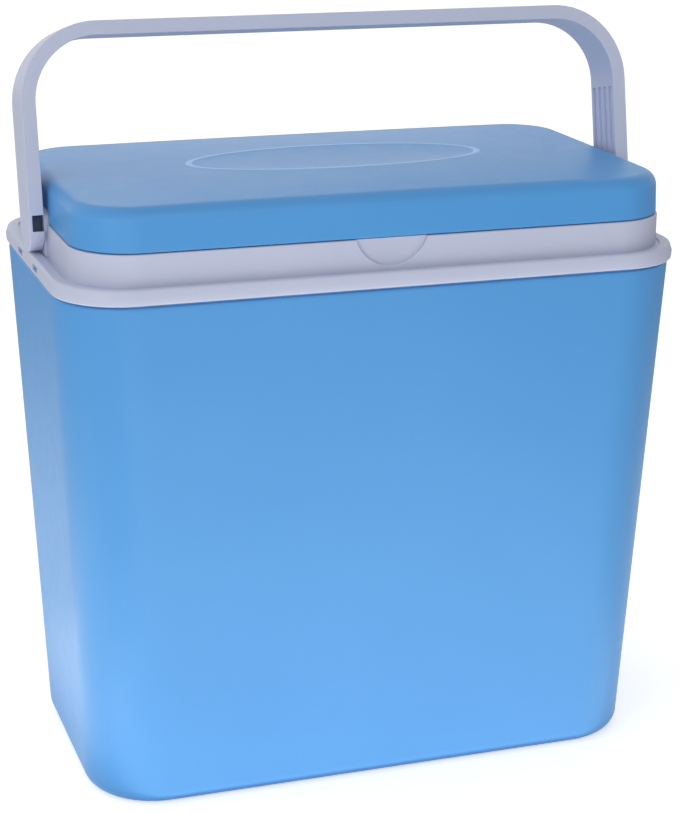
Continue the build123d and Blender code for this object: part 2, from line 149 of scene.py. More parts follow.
# Lid
LID = moved_in(NECK, 0.0008, 0.0005, 0.0366)
LID_BASE_Z = LAND_Z + 0.0003
LID_HEIGHT = 0.0257              # without its crown
LID_EDGE_Z = LID_BASE_Z + LID_HEIGHT
LID_DRAFT = math.radians(2.4)
LID_EDGE = 0.0080
LID_LIP_EDGE = 0.0014
LID_LIP_ROUND = 0.3              # share of the lip's edge that is left halfway round it
LID_CROWN = 0.0052
LID_WALL = 0.0023
DISH = (0.0950, 0.0370)          # half length and half width, to the middle of its bead
DISH_DEPTH = 0.0016
DISH_STEP = 0.0001               # from the lid's top down to the dish's edge, inside the bead
BEAD_HALF = 0.0021               # half the bead's width
BEAD_RISE = 0.00025

# How finely the shapes are divided
CORNER_STEPS = 14
LONG_CUTS = 35
SHORT_CUTS = 17
RING_POINTS = 4 * (CORNER_STEPS + 1) + 2 * LONG_CUTS + 2 * SHORT_CUTS
SMALL_EDGE_STEPS = 3
EDGE_STEPS = 5
FOOT_EDGE_STEPS = 8
LID_EDGE_STEPS = 9
LID_TOP_CUTS = 14
CROWN_POINTS = 9
BEAD_STEPS = 4
DISH_STEPS = 15
EAR_STEPS = 8
ROD_STEPS = 48
NOTCH_STEPS = 128
BEND_STEPS = 18
ROUND_FOOT_STEPS = 16
ROUND_FOOT_SHARE = 0.9995        # of the half width, so that the two roundings don't meet
STRAP_EDGE_STEPS = 4

CUT_PAST = 0.0010                # how far a cutting or joining block reaches past a face
HAIR = 0.00002                   # the least rise from one ring to the next
SAME_PLACE = 1e-6                # points closer than this are one
NEAR_WALL = 0.0001               # a face this close to a pocket's wall is part of it
SMOOTH_ANGLE = math.radians(32)  # an edge that turns by less is shaded smooth
SHARP_ANGLE = math.radians(50)   # an edge of the strap that turns by more is rounded
SIDES = (-1, 1)                  # left and right, or front and back
SNAPS = [(side, y) for side in SIDES for y in (-WINDOW_Y, WINDOW_Y)]


# ---- Modelling helpers ---------------------------------------------------------------------

def deselect_all():
    bpy.ops.object.select_all(action="DESELECT")


def select_only(piece):
    deselect_all()
    piece.select_set(True)
    bpy.context.view_layer.objects.active = piece


def start_piece(name):
    """An empty mesh object, open in edit mode, whose rings are numbered from 1."""
    deselect_all()
    bpy.ops.mesh.primitive_plane_add()
    piece = bpy.context.object
    piece.name = piece.data.name = name
    bpy.ops.object.mode_set(mode="EDIT")
    bpy.ops.mesh.delete(type="VERT")
    mesh = bmesh.from_edit_mesh(piece.data)
    mesh.verts.layers.int.new("ring")
    bmesh.update_edit_mesh(piece.data)
    return piece


def number_ring(piece):
    """Gives the new points, which still have number 0, the next ring number and returns it."""
    mesh = bmesh.from_edit_mesh(piece.data)
    number = mesh.verts.layers.int["ring"]
    latest = max(vert[number] for vert in mesh.verts) + 1
    for vert in mesh.verts:
        if vert[number] == 0:
            vert[number] = latest
    bmesh.update_edit_mesh(piece.data)
    return latest


def select_rings(piece, *numbers):
    bpy.ops.mesh.select_mode(type="VERT")
    bpy.ops.mesh.select_all(action="DESELECT")
    mesh = bmesh.from_edit_mesh(piece.data)
    number = mesh.verts.layers.int["ring"]
    for vert in mesh.verts:
        vert.select_set(vert[number] in numbers)
    mesh.select_flush(True)
    bmesh.update_edit_mesh(piece.data)


def select_where(piece, kind, chosen):
    """Selects the faces (kind FACE) or edges (kind EDGE) for which chosen is true, in edit mode."""
    bpy.ops.mesh.select_mode(type=kind)
    bpy.ops.mesh.select_all(action="DESELECT")
    mesh = bmesh.from_edit_mesh(piece.data)
    for item in (mesh.faces if kind == "FACE" else mesh.edges):
        item.select_set(chosen(item))
    bmesh.update_edit_mesh(piece.data)


def is_crosswise(edge):
    """True for an edge whose ends lie equally far back."""
    return abs(edge.verts[0].co.y - edge.verts[1].co.y) < SAME_PLACE


def heights(edge):
    return [vert.co.z for vert in edge.verts]


def cut_sides(piece, axis, cuts):
    """Divides the new ring's two straight sides that run along axis."""
    mesh = bmesh.from_edit_mesh(piece.data)
    number = mesh.verts.layers.int["ring"]
    new = [edge for edge in mesh.edges if not any(vert[number] for vert in edge.verts)]
    runs = {edge: abs(edge.verts[0].co[axis] - edge.verts[1].co[axis]) for edge in new}
    sides = sorted(new, key=runs.get)[-2:]
    for edge in mesh.edges:
        edge.select_set(edge in sides)
    bmesh.update_edit_mesh(piece.data)
    bpy.ops.mesh.subdivide(number_cuts=cuts)


def add_ring(piece, width, depth, radius, z):
    """A level rounded rectangle of edges with RING_POINTS points. Returns its number."""
    bpy.ops.mesh.select_mode(type="VERT")
    bpy.ops.mesh.select_all(action="DESELECT")
    bpy.ops.mesh.primitive_plane_add(size=1, location=(0, 0, z))
    bpy.ops.transform.resize(value=(width, depth, 1), center_override=(0, 0, z))
    bpy.ops.mesh.bevel(offset=radius, segments=CORNER_STEPS, affect="VERTICES", profile=0.5)
    bpy.ops.mesh.delete(type="ONLY_FACE")
    bpy.ops.mesh.select_mode(type="EDGE")
    cut_sides(piece, 0, LONG_CUTS)
    cut_sides(piece, 1, SHORT_CUTS)
    return number_ring(piece)


def add_oval(piece, half_length, half_width, z):
    """A level ellipse with as many points as a ring. Returns its number."""
    bpy.ops.mesh.select_all(action="DESELECT")
    bpy.ops.mesh.primitive_circle_add(vertices=RING_POINTS, radius=1, location=(0, 0, z))
    bpy.ops.transform.resize(value=(half_length, half_width, 1), center_override=(0, 0, z))
    return number_ring(piece)


def bridge(piece, first, second, cuts=0):
    select_rings(piece, first, second)
    bpy.ops.mesh.bridge_edge_loops(number_cuts=cuts, interpolation="LINEAR")


def bridge_all(piece, numbers):
    for first, second in zip(numbers, numbers[1:]):
        bridge(piece, first, second)


def close_ring(piece, number):
    select_rings(piece, number)
    bpy.ops.mesh.edge_face_add()


def loft(piece, rings):
    """Adds a ring for each (width, depth, radius, z), joins them in turn and returns their numbers.

    A ring that lies level with the one before it is set a hair higher, because two level rings join
    crossed.
    """
    numbers = []
    before = -1.0
    for width, depth, radius, z in rings:
        if abs(z - before) < HAIR:
            z = before + HAIR
        numbers.append(add_ring(piece, width, depth, radius, z))
        before = z
    bridge_all(piece, numbers)
    return numbers


def end_editing(piece):
    """Merges what lies together, points every face outwards and leaves edit mode."""
    bpy.ops.mesh.select_all(action="SELECT")
    bpy.ops.mesh.remove_doubles(threshold=SAME_PLACE)
    bpy.ops.mesh.select_all(action="SELECT")
    bpy.ops.mesh.normals_make_consistent(inside=False)
    if bmesh.from_edit_mesh(piece.data).calc_volume(signed=True) < 0:
        bpy.ops.mesh.flip_normals()
    bpy.ops.object.mode_set(mode="OBJECT")
    piece.data.attributes.remove(piece.data.attributes["ring"])


def apply_modifier(piece, kind, **settings):
    select_only(piece)
    modifier = piece.modifiers.new(kind.lower(), kind)
    for key, value in settings.items():
        setattr(modifier, key, value)
    bpy.ops.object.modifier_apply(modifier=modifier.name)


def add_block(name, low, high, edge=0.0):
    """A block between two corners, with every edge rounded by edge."""
    deselect_all()
    bpy.ops.mesh.primitive_cube_add(size=1, location=[(a + b) / 2 for a, b in zip(low, high)])
    block = bpy.context.object
    block.name = block.data.name = name
    block.scale = [b - a for a, b in zip(low, high)]
    bpy.ops.object.transform_apply(location=True, rotation=True, scale=True)
    if edge:
        apply_modifier(block, "BEVEL", width=edge, segments=SMALL_EDGE_STEPS, limit_method="NONE")
    return block


def add_rod(name, radius, start, length, axis="X", steps=ROD_STEPS):
    """A rod along X or Y from a start point, backwards where its length is below zero."""
    turn = {"X": (0, math.pi / 2, 0), "Y": (math.pi / 2, 0, 0)}[axis]
    middle = list(start)
    middle["XYZ".index(axis)] += length / 2
    deselect_all()
    bpy.ops.mesh.primitive_cylinder_add(vertices=steps, radius=radius, depth=abs(length),
                                        location=middle, rotation=turn)
    rod = bpy.context.object
    rod.name = rod.data.name = name
    bpy.ops.object.transform_apply(location=True, rotation=True, scale=True)
    return rod


def combine(piece, tool, operation):
    """Unites tool with piece, or cuts it out, and deletes the tool."""
    apply_modifier(piece, "BOOLEAN", object=tool, operation=operation, solver="EXACT")
    bpy.data.objects.remove(tool)


def span(side, inner, outer):
    """Low and high end of a stretch on one side of the middle."""
    return (inner, outer) if side > 0 else (-outer, -inner)


def finish_piece(piece, body, material, node):
    """Smooths, paints and mounts a finished piece, which stands for the named CAD node."""
    select_only(piece)
    bpy.ops.object.shade_smooth_by_angle(angle=SMOOTH_ANGLE)
    apply_modifier(piece, "WEIGHTED_NORMAL", keep_sharp=True, weight=60)
    piece.data.materials.clear()
    piece.data.materials.append(material)
    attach(piece, body)
    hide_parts(node)


def paint_faces(piece, material, chosen):
    """Gives the faces for which chosen is true a second material: here a painted shade in the handle's
    pockets and a painted highlight on the lid's bead.
    """
    piece.data.materials.append(material)
    for face in piece.data.polygons:
        if chosen(face):
            face.material_index = len(piece.data.materials) - 1


# ---- Outlines ------------------------------------------------------------------------------

def inset_ring(outline, inset, z):
    """Any outline at height z, moved in evenly by inset."""
    width, depth, radius = outline
    return width - 2 * inset, depth - 2 * inset, radius - inset, z


def body_ring(inset, z):
    """The shell's tapered outline at height z, moved in by inset."""
    share = z / BODY_TOP_Z
    outline = [low + (high - low) * share for low, high in zip(BODY_FOOT, BODY_TOP)]
    return inset_ring(outline, inset, z)


def lid_ring(inset, z):
    """The lid's drafted outline at height z, moved in by inset."""
    return inset_ring(LID, inset + (z - LID_BASE_Z) * math.tan(LID_DRAFT), z)


def quarter(steps):
    """Cosines and sines of the angles of a quarter turn, both ends included."""
    angles = [math.pi / 2 * step / steps for step in range(steps + 1)]
    return [(math.cos(angle), math.sin(angle)) for angle in angles]


def rounding(edge, steps):
    """Pairs (gone, left) of offsets that follow a rounded edge, from (0, edge) to (edge, 0)."""
    return [(edge * (1 - cos), edge * (1 - sin)) for cos, sin in quarter(steps)]


# ---- Blue shell ----------------------------------------------------------------------------

def shell_rings():
    """From the recess under the foot up the outside, over the spigot and down the inside to the floor."""
    recess = FOOT_EDGE + FOOT_RING
    rings = [body_ring(recess + FOOT_RECESS, FOOT_RECESS),
             body_ring(recess + FOOT_RING_EDGE, FOOT_RECESS),
             body_ring(recess, FOOT_RECESS - FOOT_RING_EDGE),
             body_ring(recess - FOOT_RING_EDGE, 0.0)]
    rings += [body_ring(left, gone) for gone, left in rounding(FOOT_EDGE, FOOT_EDGE_STEPS)]
    rings += [body_ring(gone, BODY_TOP_Z - left) for gone, left in rounding(BODY_TOP_EDGE, SMALL_EDGE_STEPS)]
    rings += [(*SPIGOT, BODY_TOP_Z), (*SPIGOT, SPIGOT_TOP_Z),
              inset_ring(SPIGOT, SPIGOT_WALL, SPIGOT_TOP_Z),
              inset_ring(SPIGOT, SPIGOT_WALL, SPIGOT_ROOT_Z),
              body_ring(SHELL_WALL, SPIGOT_ROOT_Z)]
    floor = FOOT_RECESS + SHELL_WALL
    inner_edge = rounding(FOOT_EDGE - SHELL_WALL, EDGE_STEPS)
    rings += [body_ring(SHELL_WALL + left, floor + gone) for gone, left in reversed(inner_edge)]
    return rings


def make_shell(material):
    piece = start_piece("blue_shell")
    numbers = loft(piece, shell_rings())
    close_ring(piece, numbers[0])
    close_ring(piece, numbers[-1])
    end_editing(piece)
    for side, y in SNAPS:
        add_hook(piece, side, y)
    finish_piece(piece, "box", material, "outer_shell")


def add_hook(piece, side, y):
    """A small block on the shell's spigot that looks out of one of the rim's windows."""
    half_length = WINDOW_LENGTH / 2 - HOOK_GAP
    low_z = WINDOW_Z - WINDOW_HEIGHT / 2 + HOOK_GAP
    high_z = WINDOW_Z + WINDOW_HEIGHT / 2 - HOOK_GAP
    low_x, high_x = span(side, SPIGOT[0] / 2 - HOOK_ROOT, SPIGOT[0] / 2 + HOOK_REACH)
    hook = add_block("hook", (low_x, y - half_length, low_z), (high_x, y + half_length, high_z), HOOK_EDGE)
    combine(piece, hook, "UNION")


# ---- Pale rim and cavity -------------------------------------------------------------------

def rim_rings():
    """The rim's outside, from its lower lip up over the ledge and neck to the edge of the mouth."""
    rings = [inset_ring(LIP, left, LIP_Z + gone) for gone, left in rounding(LIP_EDGE, SMALL_EDGE_STEPS)]
    rings.append(inset_ring(LIP, -FLANGE_BULGE, (LIP_Z + LEDGE_Z) / 2))
    for cos, sin in quarter(EDGE_STEPS):
        inset = FLANGE_EDGE * (1 - cos) - FLANGE_LEAN * cos
        rings.append(inset_ring(LEDGE, inset, LEDGE_Z - FLANGE_EDGE * (1 - sin)))
    groove_z = LEDGE_Z - GROOVE_DEPTH
    rings.append(inset_ring(NECK, -GROOVE_WIDTH - GROOVE_LIP[0], LEDGE_Z))
    rings.append(inset_ring(NECK, -GROOVE_WIDTH, LEDGE_Z - GROOVE_LIP[1]))
    rings.append(inset_ring(NECK, -GROOVE_WIDTH + GROOVE_ROOT[0], groove_z + GROOVE_ROOT[1]))
    fillet = rounding(NECK_FILLET, SMALL_EDGE_STEPS)
    rings += [inset_ring(NECK, -left, groove_z + gone) for gone, left in fillet]
    land_edge = rounding(NECK_EDGE, SMALL_EDGE_STEPS)
    rings += [inset_ring(NECK, gone, LAND_Z - left) for gone, left in land_edge]
    rings += [inset_ring(MOUTH, -gone, LAND_Z - left) for gone, left in reversed(land_edge)]
    return rings


def cavity_rings():
    """The cavity's foot, rounded into its floor."""
    return [inset_ring(CAVITY_FOOT, gone, FLOOR_Z + left) for gone, left in rounding(CAVITY_EDGE, EDGE_STEPS)]


def hidden_rings():
    """The wall's far side: up round the tub to the land, down behind the neck and out to the skirt."""
    low = LEDGE_Z - LINER_WALL
    high = LAND_Z - LINER_WALL
    return [inset_ring(CAVITY_FOOT, CAVITY_EDGE / 2 - LINER_WALL, FLOOR_Z - LINER_WALL),
            inset_ring(CAVITY_FOOT, -LINER_WALL, FLOOR_Z + CAVITY_EDGE / 2),
            inset_ring(MOUTH, -LINER_WALL, high), inset_ring(NECK, LINER_WALL, high),
            inset_ring(NECK, LINER_WALL, low), (*SKIRT, low), (*SKIRT, LIP_Z)]


def make_rim(material):
    piece = start_piece("pale_rim")
    numbers = loft(piece, hidden_rings() + rim_rings() + cavity_rings())
    close_ring(piece, numbers[0])
    close_ring(piece, numbers[-1])
    end_editing(piece)
    for side in SIDES:
        add_ear(piece, side)
    cut_notch(piece)
    for side, y in SNAPS:
        cut_window(piece, side, y)
    finish_piece(piece, "box", material, "inner_liner")


def ear_block(name, side, grow=0.0):
    """Round-topped block of a pivot ear, made larger by grow."""
    low_x, high_x = span(side, EAR_OUTER_X - EAR_THICKNESS - grow, EAR_OUTER_X + grow)
    half = EAR_WIDTH / 2 + grow
    ear = add_block(name, (low_x, -half, LEDGE_Z - LINER_WALL / 2), (high_x, half, EAR_TOP_Z + grow))
    bpy.ops.object.mode_set(mode="EDIT")
    select_where(ear, "EDGE", lambda edge: is_crosswise(edge) and min(heights(edge)) > LAND_Z)
    bpy.ops.mesh.bevel(offset=EAR_CORNER, segments=EAR_STEPS)
    bpy.ops.object.mode_set(mode="OBJECT")
    return ear


def add_ear(piece, side):
    combine(piece, ear_block("ear", side), "UNION")
    start = (side * (EAR_OUTER_X + CUT_PAST), 0, PIVOT_Z)
    bore = add_rod("bore", PEG_RADIUS + BORE_GAP, start, -side * (BORE_DEPTH + CUT_PAST))
    combine(piece, bore, "DIFFERENCE")


def cut_notch(piece):
    """Shallow round scoop for a thumb, in the front of the neck, with a pad behind it."""
    half = NOTCH_WIDTH / 2
    front = -NECK[1] / 2
    pad_front = front + LINER_WALL / 2
    low = (-half - PAD_MARGIN, pad_front, LEDGE_Z - LINER_WALL)
    high = (half + PAD_MARGIN, pad_front + PAD_THICKNESS, LAND_Z - LINER_WALL / 2)
    combine(piece, add_block("pad", low, high), "UNION")
    radius = (half ** 2 + NOTCH_DROP ** 2) / (2 * NOTCH_DROP)
    start = (0, front + NOTCH_DEPTH, LAND_Z - NOTCH_DROP + radius)
    scoop = add_rod("scoop", radius, start, -SCOOP_LENGTH, axis="Y", steps=NOTCH_STEPS)
    combine(piece, scoop, "DIFFERENCE")


def cut_window(piece, side, y):
    low_x, high_x = span(side, SPIGOT[0] / 2, LIP[0] / 2 + 2 * CUT_PAST)
    low = (low_x, y - WINDOW_LENGTH / 2, WINDOW_Z - WINDOW_HEIGHT / 2)
    high = (high_x, y + WINDOW_LENGTH / 2, WINDOW_Z + WINDOW_HEIGHT / 2)
    combine(piece, add_block("window", low, high, WINDOW_EDGE), "DIFFERENCE")


# ---- Handle --------------------------------------------------------------------------------

def draw_out(x, z):
    """Extrudes what is selected by x across and z up."""
    bpy.ops.mesh.extrude_region_move(TRANSFORM_OT_translate={"value": (x, 0, z)})


def bend_over(x, z):
    """Spins what is selected a quarter turn round (x, z), clockwise as seen from the front."""
    bpy.ops.mesh.spin(steps=BEND_STEPS, angle=-math.pi / 2, center=(x, 0, z), axis=(0, 1, 0))


def make_handle(material):
    """A flat strap bent into a bail, built upright about the pivot and then leaned back."""
    piece = start_piece("pale_handle")
    foot = (-(ARM_INNER_X + STRAP_THICKNESS / 2), 0, 0)
    bend_x = ARM_OUTER_X - BAIL_CORNER
    bend_z = BAIL_HEIGHT - BAIL_CORNER
    bpy.ops.mesh.primitive_plane_add(size=1, location=foot)
    bpy.ops.transform.resize(value=(STRAP_THICKNESS, STRAP_WIDTH, 1), center_override=foot)
    draw_out(0, bend_z)
    bend_over(-bend_x, bend_z)
    draw_out(2 * bend_x, 0)
    bend_over(bend_x, bend_z)
    draw_out(0, -bend_z)
    bpy.ops.mesh.select_all(action="SELECT")
    bpy.ops.mesh.remove_doubles(threshold=SAME_PLACE)
    round_feet(piece)
    end_editing(piece)
    apply_modifier(piece, "BEVEL", width=STRAP_EDGE, segments=STRAP_EDGE_STEPS, limit_method="ANGLE",
                   angle_limit=SHARP_ANGLE)
    for side in SIDES:
        cut_arm(piece, side)
    piece.rotation_euler.x = -LEAN
    piece.location.z = PIVOT_Z
    select_only(piece)
    bpy.ops.object.transform_apply(location=True, rotation=True, scale=True)
    finish_piece(piece, "handle", material, "handle")
    # The faces inside the feet's pockets get the dark painted shade.
    paint_faces(piece, POCKET_SHADE, in_pocket)


def round_feet(piece):
    """Draws both arms down past the pivot and rounds their ends into half discs."""
    radius = STRAP_WIDTH / 2
    select_where(piece, "FACE", lambda face: abs(face.calc_center_median().z) < HAIR)
    draw_out(0, -radius)
    select_where(piece, "EDGE", lambda edge: is_crosswise(edge) and max(heights(edge)) < HAIR - radius)
    bpy.ops.mesh.bevel(offset=radius * ROUND_FOOT_SHARE, segments=ROUND_FOOT_STEPS)


def cut_arm(piece, side):
    """Flutes inside one arm, a pocket in each edge of its foot, and its pivot peg."""
    low_x, high_x = span(side, ARM_INNER_X - FLUTE_DEPTH, ARM_INNER_X + FLUTE_DEPTH)
    for flute in range(FLUTES):
        y = (flute - (FLUTES - 1) / 2) * FLUTE_PITCH
        low = (low_x, y - FLUTE_WIDTH / 2, FLUTE_SPAN[0])
        high = (high_x, y + FLUTE_WIDTH / 2, FLUTE_SPAN[1])
        combine(piece, add_block("flute", low, high, FLUTE_EDGE), "DIFFERENCE")
    low_x, high_x = span(side, ARM_INNER_X - 4 * CUT_PAST, ARM_OUTER_X - POCKET_SKIN)
    for face in SIDES:
        low_y, high_y = span(face, STRAP_WIDTH / 2 - POCKET_DEPTH, STRAP_WIDTH)
        low = (low_x, low_y, -POCKET_LENGTH / 2)
        high = (high_x, high_y, POCKET_LENGTH / 2)
        combine(piece, add_block("pocket", low, high, POCKET_EDGE), "DIFFERENCE")
    start = (side * (ARM_INNER_X + CUT_PAST), 0, 0)
    combine(piece, add_rod("peg", PEG_RADIUS, start, -side * (PEG_LENGTH + CUT_PAST)), "UNION")


def in_pocket(face):
    """True for a face inside one of the pockets in the handle's feet."""
    x, y, z = face.center
    along = (z - PIVOT_Z) * math.cos(LEAN) + y * math.sin(LEAN)
    across = y * math.cos(LEAN) - (z - PIVOT_Z) * math.sin(LEAN)
    opening = 3 * NEAR_WALL
    inside_x = ARM_INNER_X + opening < abs(x) < ARM_OUTER_X - POCKET_SKIN + NEAR_WALL
    inside_y = STRAP_WIDTH / 2 - POCKET_DEPTH - NEAR_WALL < abs(across) < STRAP_WIDTH / 2 - opening
    return inside_x and inside_y and abs(along) < POCKET_LENGTH / 2 + NEAR_WALL


# ---- Lid -----------------------------------------------------------------------------------

def make_lid(material):
    """A closed crowned body with its dish, made hollow by a smaller one."""
    piece = lid_body("blue_lid", 0, lip_rings(), dish_ovals())
    for side in SIDES:
        combine(piece, ear_block("ear_room", side, EAR_CLEARANCE), "DIFFERENCE")
    room = lid_body("foam_room", LID_WALL, [lid_ring(LID_WALL, LID_BASE_Z - CUT_PAST)], room_ovals())
    for side in SIDES:
        combine(room, ear_block("ear_wall", side, EAR_CLEARANCE + LID_WALL), "DIFFERENCE")
    combine(piece, room, "DIFFERENCE")
    finish_piece(piece, "lid", material, "lid_cover")
    # The bead round the dish gets the paler colour of a painted highlight.
    paint_faces(piece, BEAD_HIGHLIGHT_BLUE, on_bead)


def lid_body(name, inset, foot_rings, ovals):
    """The lid's outline moved in by inset, up to its rounded top edge, and across to the dish's ovals."""
    piece = start_piece(name)
    edge = rounding(LID_EDGE - inset, LID_EDGE_STEPS)
    top_rings = [lid_ring(inset + gone, LID_EDGE_Z - inset - left) for gone, left in edge]
    numbers = loft(piece, foot_rings + top_rings)
    dish = [add_oval(piece, length, width, z + HAIR) for length, width, z in ovals]
    bridge_all(piece, dish)
    close_ring(piece, dish[-1])
    close_ring(piece, numbers[0])
    bridge(piece, numbers[-1], dish[0], cuts=LID_TOP_CUTS)
    end_editing(piece)
    crown(piece)
    return piece


def lip_rings():
    """The rounded lower edge of the lid's side."""
    halfway = LID_LIP_EDGE * LID_LIP_ROUND
    return [lid_ring(LID_LIP_EDGE, LID_BASE_Z), lid_ring(halfway, LID_BASE_Z + halfway),
            lid_ring(0, LID_BASE_Z + LID_LIP_EDGE)]


def dish_ovals():
    """Half length, half width and height of the dish's ovals: its round bead, then its shallow floor."""
    outer_half = [dish_oval(BEAD_HALF * cos, BEAD_RISE * sin) for cos, sin in quarter(BEAD_STEPS)[:-1]]
    inner_half = [dish_oval(-BEAD_HALF * cos, (BEAD_RISE + DISH_STEP) * sin - DISH_STEP)
                  for cos, sin in reversed(quarter(BEAD_STEPS + 1))]
    return outer_half + inner_half + floor_ovals(-BEAD_HALF, -DISH_STEP)


def dish_oval(out, rise):
    """The oval along the middle of the bead, moved out and up."""
    return DISH[0] + out, DISH[1] + out, LID_EDGE_Z + rise


def floor_ovals(out, rise):
    """The dish's floor, which falls gently from its edge to its middle, where half a step is left."""
    ovals = []
    for step in range(1, DISH_STEPS + 1):
        reach = 1 - step / (DISH_STEPS + 0.5)
        fall = (DISH_DEPTH - DISH_STEP) * (1 - reach ** 2)
        ovals.append(((DISH[0] + out) * reach, (DISH[1] + out) * reach, LID_EDGE_Z + rise - fall))
    return ovals


def room_ovals():
    """The same floor a wall lower and wider, for the underside."""
    edge = dish_oval(LID_WALL, -DISH_STEP - LID_WALL)
    return [edge] + floor_ovals(LID_WALL, -DISH_STEP - LID_WALL)


def crown(piece):
    """Raises the lid's top into a gentle crown with a lattice."""
    deselect_all()
    bpy.ops.object.add(type="LATTICE", location=(0, 0, LID_BASE_Z + LID_HEIGHT / 2))
    cage = bpy.context.object
    cage.scale = (LID[0], LID[1], LID_HEIGHT)
    cage.data.points_u = cage.data.points_v = CROWN_POINTS
    cage.data.points_w = 2
    for point in cage.data.points:
        x, y, z = point.co
        if z > 0:
            point.co_deform.z += LID_CROWN / LID_HEIGHT * (1 - (2 * x) ** 2) * (1 - (2 * y) ** 2)
    bpy.context.view_layer.update()
    apply_modifier(piece, "LATTICE", object=cage)
    bpy.data.objects.remove(cage)


def within_oval(face, half_length, half_width):
    return (face.center.x / half_length) ** 2 + (face.center.y / half_width) ** 2 < 1


def on_bead(face):
    """True for a face of the bead round the dish."""
    inside_dish = within_oval(face, DISH[0] - BEAD_HALF, DISH[1] - BEAD_HALF)
    inside_bead = within_oval(face, DISH[0] + BEAD_HALF, DISH[1] + BEAD_HALF)
    return inside_bead and not inside_dish and face.center.z > LID_EDGE_Z


# ---- Materials -----------------------------------------------------------------------------
# A scale is a pattern's fineness per metre.

DRIFT_SCALE = 9
DRIFT_RANGE = (0.35, 0.65)
# Paler sharp edges: partly wear, partly a painted highlight along the edges.
WEAR_AND_HIGHLIGHT_RADIUS = 0.0010
WEAR_AND_HIGHLIGHT_SAMPLES = 6
WEAR_AND_HIGHLIGHT_COSINES = (0.995, 0.90)     # of the turn at an edge, where the paler edge of wear and painted highlight starts and where it is full
WEAR_AND_HIGHLIGHT_SCALE = 60
WEAR_AND_HIGHLIGHT_RANGE = (0.40, 0.62)
WEAR_AND_HIGHLIGHT_SHARES = (0.05, 0.5)
RUB_SCALE = 90
RUB_RANGE = (0.3, 0.7)
RUB_CHANGES = (-0.02, 0.03)      # of roughness
SINK_SCALE = 14
SINK_STRENGTH = 0.05
SINK_DEPTH = 0.0003
GRAIN_SCALE = 1900
GRAIN_STRENGTH = 0.35
GRAIN_DEPTH = 0.00004
PLASTIC_IOR = 1.49
FOAM_LIGHT = (0.93, 0.89, 0.76)
FOAM_DARK = (0.86, 0.80, 0.62)
CELL_SCALE = 700
CELL_EDGE = 0.7
CELL_STRENGTH = 0.6
CELL_DEPTH = 0.0003


def new_material(name):
    material = bpy.data.materials.new(name)
    material.use_nodes = True
    return material, material.node_tree, material.node_tree.nodes["Principled BSDF"]


def feed(tree, socket, value):
    """Links value to a node's input where it comes from another node, and otherwise sets it there."""
    if isinstance(value, bpy.types.NodeSocket):
        tree.links.new(value, socket)
    elif socket.type == "RGBA":
        socket.default_value = (*value, 1)
    else:
        socket.default_value = value


def set_inputs(tree, node, **values):
    """Feeds a node's inputs by name. An underscore stands for a space in a name."""
    for name, value in values.items():
        feed(tree, node.inputs[name.replace("_", " ")], value)
    return node


def add_node(tree, kind, **values):
    return set_inputs(tree, tree.nodes.new("ShaderNode" + kind), **values)


def object_place(tree):
    return add_node(tree, "TexCoord").outputs["Object"]


def noise(tree, place, scale, detail, roughness=0.5):
    node = add_node(tree, "TexNoise", Vector=place, Scale=scale, Detail=detail, Roughness=roughness)
    return node.outputs["Fac"]


def spread(tree, value, low, high, to_low, to_high):
    """Maps a value's range low to high onto to_low to to_high."""
    node = add_node(tree, "MapRange", Value=value, From_Min=low, From_Max=high, To_Min=to_low,
                    To_Max=to_high)
    return node.outputs["Result"]


def calculate(tree, operation, *values, kind="Math"):
    """The result of a math node, or of a vector math node where kind is VectorMath."""
    node = add_node(tree, kind)
    node.operation = operation
    for socket, value in zip(node.inputs, values):
        feed(tree, socket, value)
    return node.outputs["Value"]


def mix(tree, share, first, second, kind="RGBA"):
    """A mix of two colours, or of two numbers where kind is FLOAT."""
    node = add_node(tree, "Mix")
    node.data_type = kind
    return set_inputs(tree, node, Factor=share, A=first, B=second).outputs["Result"]


def edge_mask(tree):
    """1 on the sharp edges of a piece and 0 away from them."""
    rounded = add_node(tree, "Bevel", Radius=WEAR_AND_HIGHLIGHT_RADIUS)
    rounded.samples = WEAR_AND_HIGHLIGHT_SAMPLES
    normals = [node.outputs["Normal"] for node in (rounded, add_node(tree, "NewGeometry"))]
    turn = calculate(tree, "DOT_PRODUCT", *normals, kind="VectorMath")
    return spread(tree, turn, *WEAR_AND_HIGHLIGHT_COSINES, 0, 1)


def moulded_plastic(name, colour, deep, edge_wear_and_highlight, roughness):
    """Injection-moulded plastic: slow drifts of colour, paler edges that are partly wear and partly a painted
    highlight, faint rubs and sinks, fine grain.
    """
    material, tree, shader = new_material(name)
    place = object_place(tree)
    drift = spread(tree, noise(tree, place, DRIFT_SCALE, detail=2), *DRIFT_RANGE, 0, 1)
    patches = spread(tree, noise(tree, place, WEAR_AND_HIGHLIGHT_SCALE, detail=4), *WEAR_AND_HIGHLIGHT_RANGE, *WEAR_AND_HIGHLIGHT_SHARES)
    # Paler sharp edges in random patches: partly wear, partly a painted highlight along the edges.
    wear_and_highlight = calculate(tree, "MULTIPLY", edge_mask(tree), patches)
    rubs = noise(tree, place, RUB_SCALE, detail=4, roughness=0.6)
    sinks = add_node(tree, "Bump", Height=noise(tree, place, SINK_SCALE, detail=1),
                     Strength=SINK_STRENGTH, Distance=SINK_DEPTH)
    grain = add_node(tree, "Bump", Height=noise(tree, place, GRAIN_SCALE, detail=2),
                     Strength=GRAIN_STRENGTH, Distance=GRAIN_DEPTH, Normal=sinks.outputs["Normal"])
    set_inputs(tree, shader, Base_Color=mix(tree, wear_and_highlight, mix(tree, drift, colour, deep), edge_wear_and_highlight),
               Roughness=spread(tree, rubs, *RUB_RANGE, *[roughness + change for change in RUB_CHANGES]),
               IOR=PLASTIC_IOR, Normal=grain.outputs["Normal"])
    return material


